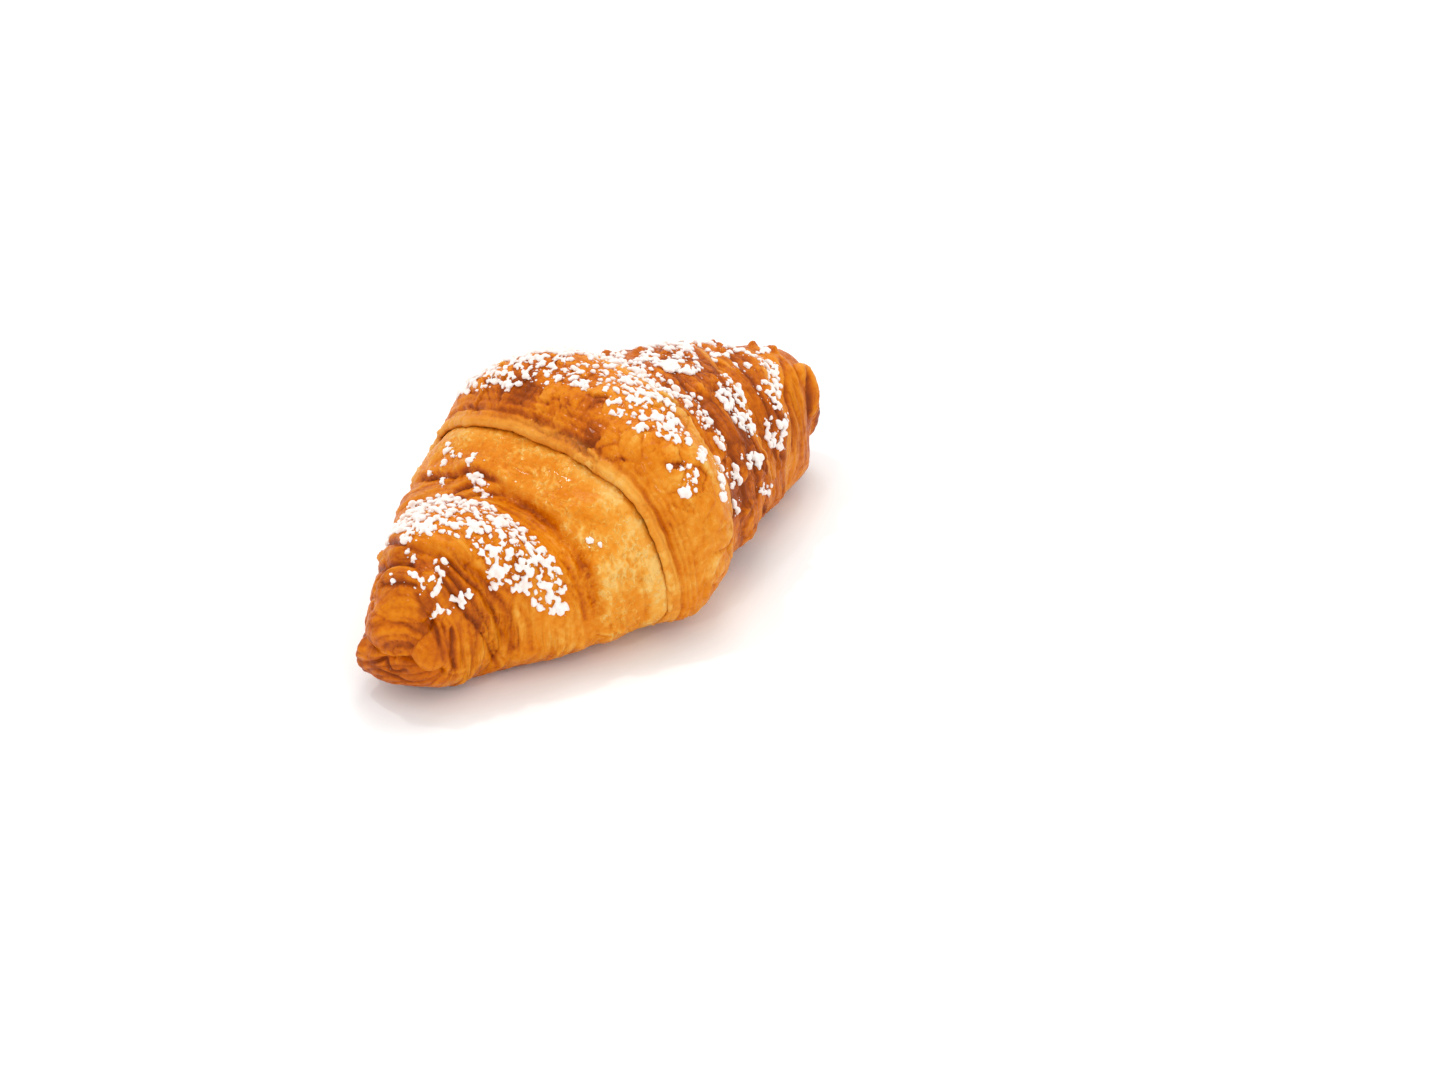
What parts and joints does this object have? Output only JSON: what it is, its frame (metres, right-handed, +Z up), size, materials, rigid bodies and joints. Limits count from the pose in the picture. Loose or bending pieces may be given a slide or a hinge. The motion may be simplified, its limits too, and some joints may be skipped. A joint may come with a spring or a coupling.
{
  "type": "cornetto",
  "caption": "Baked crescent pastry of rolled laminated dough: overlapping wraps with raised edges, a glazed brown crust and clumps of icing sugar on the crown.",
  "frame": {"origin": "middle of the footprint's box, on the surface that the pastry rests on", "axes": "+X along the pastry away from its blunt near tip, -Y towards the hollow side of the crescent, +Z up"},
  "size_m": [0.1388, 0.0788, 0.0485],
  "materials": {
    "crust": "baked laminated dough with a glossy egg wash, golden on the sides and brown on the ridges",
    "sugar": "matt white icing sugar in soft clumps"
  },
  "bodies": {
    "root": {"cornetto": "crust"}
  },
  "joints": []
}
